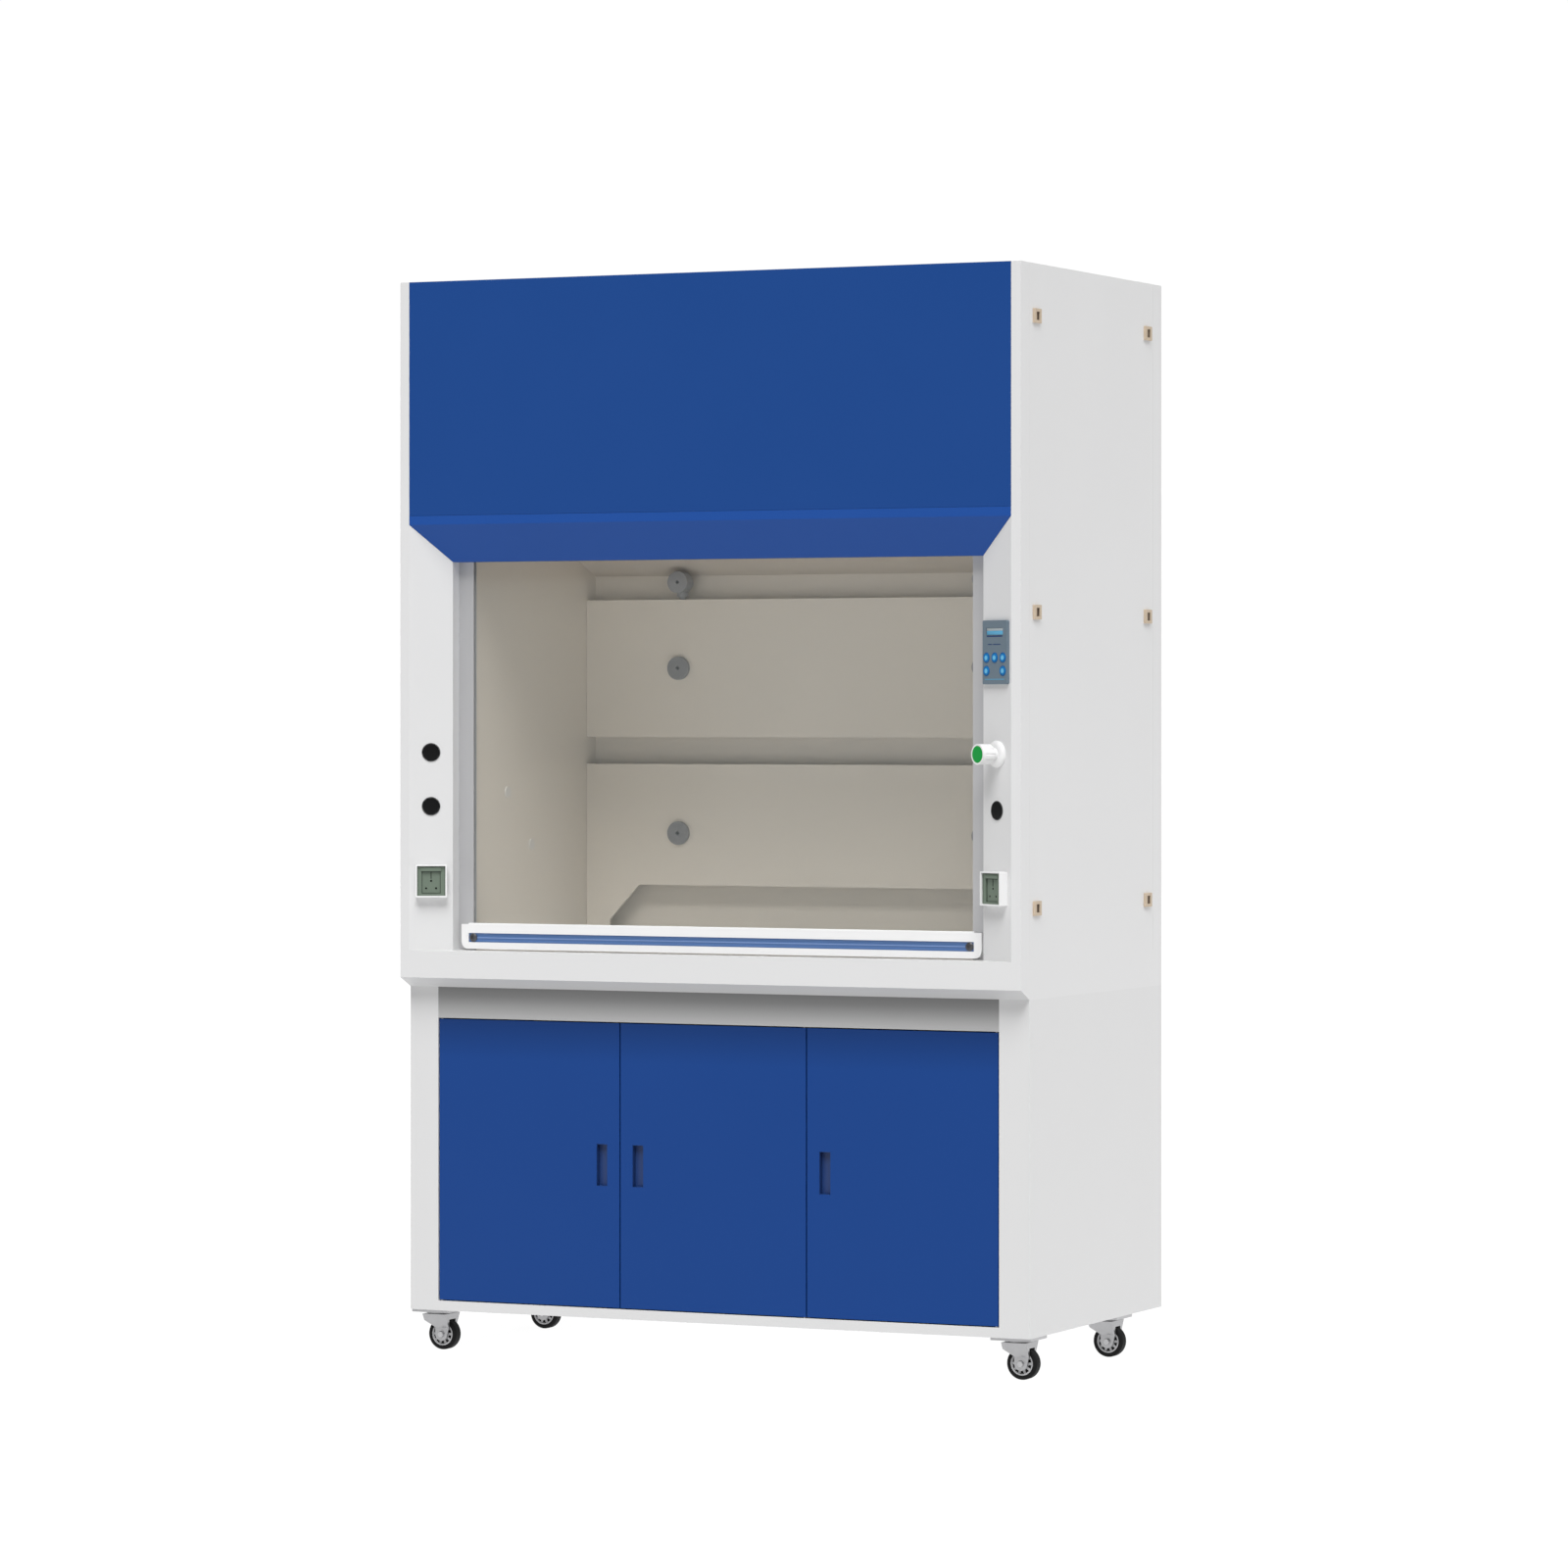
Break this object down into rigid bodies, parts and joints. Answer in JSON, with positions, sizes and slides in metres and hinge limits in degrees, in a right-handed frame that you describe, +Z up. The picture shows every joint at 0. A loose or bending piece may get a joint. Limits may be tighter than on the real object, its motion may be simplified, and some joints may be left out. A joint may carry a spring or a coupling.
{
  "type": "laboratory fume hood",
  "caption": "Laboratory fume hood on a cupboard base with casters, with a counterbalanced sliding glass sash, service valve, control panel, sockets and an exhaust collar.",
  "frame": {"origin": "centre of the bounding box at floor level, sash shut, doors shut, casters trailing", "axes": "+Z up, front towards -Y, +X to the right of someone facing the hood"},
  "size_m": [1.51, 0.845, 2.402],
  "materials": {
    "white_paint": "satin",
    "blue_paint": "satin",
    "worktop": "matte",
    "liner": "satin",
    "baffle": "satin",
    "track": "satin",
    "sash_glass": "polished",
    "sash_bar": "satin",
    "blue_insert": "matte",
    "galvanised": "satin",
    "weight": "matte",
    "cable": "satin",
    "black_plastic": "satin",
    "white_plastic": "gloss",
    "socket_face": "satin",
    "valve_body": "gloss",
    "valve_green": "gloss",
    "panel_grey": "satin",
    "button_blue": "gloss",
    "latch": "satin",
    "lamp": "satin",
    "caster_steel": "satin",
    "caster_wheel": "matte",
    "fixing": "satin",
    "port": "satin"
  },
  "bodies": {
    "hood": {"cabinet_left_side": "white_paint", "cabinet_right_side": "white_paint", "cabinet_back": "white_paint", "cabinet_floor": "white_paint", "cabinet_header": "white_paint", "worktop_frame": "white_paint", "worktop_slab": "worktop", "left_front_post": "white_paint", "right_front_post": "white_paint", "access_panels": "white_paint", "panel_latches": "latch", "hood_back_panel": "white_paint", "upper_front_panel": "blue_paint", "beak_panel": "blue_paint", "hood_top_panel": "galvanised", "exhaust_duct": "galvanised", "sash_tracks": "track", "liner_side_walls": "liner", "wall_port_plugs": "port", "liner_rear_wall": "liner", "liner_ceiling": "liner", "work_lamp": "lamp", "upper_baffle": "baffle", "lower_baffle": "baffle", "baffle_fixings": "fixing", "service_outlets": "fixing", "post_hole_plugs": "black_plastic", "socket_boxes": "white_plastic", "socket_faces": "socket_face", "valve_base": "valve_body", "control_panel": "panel_grey", "overhead_cables": "cable", "caster_plates": "caster_steel"},
    "sash": {"sash_glass": "sash_glass", "sash_handle": "sash_bar", "sash_handle_insert": "blue_insert", "sash_top_rail": "track", "sash_cable_runs": "cable"},
    "counterweight": {"counterweight": "weight", "counterweight_cable_runs": "cable"},
    "front_pulley": {"front_pulley_shaft": "caster_steel"},
    "rear_pulley": {"rear_pulley_shaft": "caster_steel"},
    "left_door": {"left_door": "blue_paint"},
    "middle_door": {"middle_door": "blue_paint"},
    "right_door": {"right_door": "blue_paint"},
    "valve": {"valve_knob": "valve_body", "valve_cap": "valve_green"},
    "button_1": {"button_1": "button_blue"},
    "button_2": {"button_2": "button_blue"},
    "button_3": {"button_3": "button_blue"},
    "button_4": {"button_4": "button_blue"},
    "button_5": {"button_5": "button_blue"},
    "front_left_swivel": {"front_left_fork": "caster_steel"},
    "front_left_wheel": {"front_left_wheel": "caster_wheel"},
    "front_right_swivel": {"front_right_fork": "caster_steel"},
    "front_right_wheel": {"front_right_wheel": "caster_wheel"},
    "rear_left_swivel": {"rear_left_fork": "caster_steel"},
    "rear_left_wheel": {"rear_left_wheel": "caster_wheel"},
    "rear_right_swivel": {"rear_right_fork": "caster_steel"},
    "rear_right_wheel": {"rear_right_wheel": "caster_wheel"}
  },
  "joints": [
    {"name": "sash_slide", "type": "slide", "parent": "hood", "child": "sash", "axis": [0, 0, 1], "range_m": [0, 0.48], "deforming": ["sash_cable_runs"]},
    {"name": "counterweight_slide", "type": "slide", "parent": "hood", "child": "counterweight", "axis": [0, 0, -1], "range_m": [0, 0.48], "deforming": ["counterweight_cable_runs"]},
    {"name": "front_pulley_turn", "type": "hinge", "parent": "hood", "child": "front_pulley", "pos_m": [0, -0.28173, 2.334], "axis": [-1, 0, 0], "range_deg": [0, 1170]},
    {"name": "rear_pulley_turn", "type": "hinge", "parent": "hood", "child": "rear_pulley", "pos_m": [0, 0.34868, 2.334], "axis": [-1, 0, 0], "range_deg": [0, 1170]},
    {"name": "left_door_hinge", "type": "hinge", "parent": "hood", "child": "left_door", "pos_m": [-0.672, -0.33703, 0.4295], "axis": [0, 0, -1], "range_deg": [0, 110]},
    {"name": "middle_door_hinge", "type": "hinge", "parent": "hood", "child": "middle_door", "pos_m": [0.21983, -0.33703, 0.4295], "axis": [0, 0, 1], "range_deg": [0, 110]},
    {"name": "right_door_hinge", "type": "hinge", "parent": "hood", "child": "right_door", "pos_m": [0.672, -0.33703, 0.4295], "axis": [0, 0, 1], "range_deg": [0, 110]},
    {"name": "valve_turn", "type": "hinge", "parent": "hood", "child": "valve", "pos_m": [0.68525, -0.36552, 1.337], "axis": [-0.4939, -0.8695, 0], "range_deg": [0, 270]},
    {"name": "button_1_press", "type": "slide", "parent": "hood", "child": "button_1", "axis": [0.4939, 0.8695, 0], "range_m": [0, 0.0012], "stiffness_N_per_m": 300, "springref_m": -0.001},
    {"name": "button_2_press", "type": "slide", "parent": "hood", "child": "button_2", "axis": [0.4939, 0.8695, 0], "range_m": [0, 0.0012], "stiffness_N_per_m": 300, "springref_m": -0.001},
    {"name": "button_3_press", "type": "slide", "parent": "hood", "child": "button_3", "axis": [0.4939, 0.8695, 0], "range_m": [0, 0.0012], "stiffness_N_per_m": 300, "springref_m": -0.001},
    {"name": "button_4_press", "type": "slide", "parent": "hood", "child": "button_4", "axis": [0.4939, 0.8695, 0], "range_m": [0, 0.0012], "stiffness_N_per_m": 300, "springref_m": -0.001},
    {"name": "button_5_press", "type": "slide", "parent": "hood", "child": "button_5", "axis": [0.4939, 0.8695, 0], "range_m": [0, 0.0012], "stiffness_N_per_m": 300, "springref_m": -0.001},
    {"name": "front_left_swivel_turn", "type": "hinge", "parent": "hood", "child": "front_left_swivel", "pos_m": [-0.703, -0.29002, 0.081], "axis": [0, 0, 1], "continuous": true},
    {"name": "front_left_wheel_spin", "type": "hinge", "parent": "front_left_swivel", "child": "front_left_wheel", "pos_m": [-0.691, -0.29002, 0.035], "axis": [0, 1, 0], "continuous": true},
    {"name": "front_right_swivel_turn", "type": "hinge", "parent": "hood", "child": "front_right_swivel", "pos_m": [0.703, -0.29002, 0.081], "axis": [0, 0, 1], "continuous": true},
    {"name": "front_right_wheel_spin", "type": "hinge", "parent": "front_right_swivel", "child": "front_right_wheel", "pos_m": [0.715, -0.29002, 0.035], "axis": [0, 1, 0], "continuous": true},
    {"name": "rear_left_swivel_turn", "type": "hinge", "parent": "hood", "child": "rear_left_swivel", "pos_m": [-0.703, 0.20047, 0.081], "axis": [0, 0, 1], "continuous": true},
    {"name": "rear_left_wheel_spin", "type": "hinge", "parent": "rear_left_swivel", "child": "rear_left_wheel", "pos_m": [-0.691, 0.20047, 0.035], "axis": [0, 1, 0], "continuous": true},
    {"name": "rear_right_swivel_turn", "type": "hinge", "parent": "hood", "child": "rear_right_swivel", "pos_m": [0.703, 0.20047, 0.081], "axis": [0, 0, 1], "continuous": true},
    {"name": "rear_right_wheel_spin", "type": "hinge", "parent": "rear_right_swivel", "child": "rear_right_wheel", "pos_m": [0.715, 0.20047, 0.035], "axis": [0, 1, 0], "continuous": true}
  ],
  "couplings": [
    {"joint": "counterweight_slide", "follows": "sash_slide", "ratio": 1},
    {"joint": "front_pulley_turn", "follows": "sash_slide", "rad_per_m": 42.017},
    {"joint": "rear_pulley_turn", "follows": "sash_slide", "rad_per_m": 42.017}
  ]
}
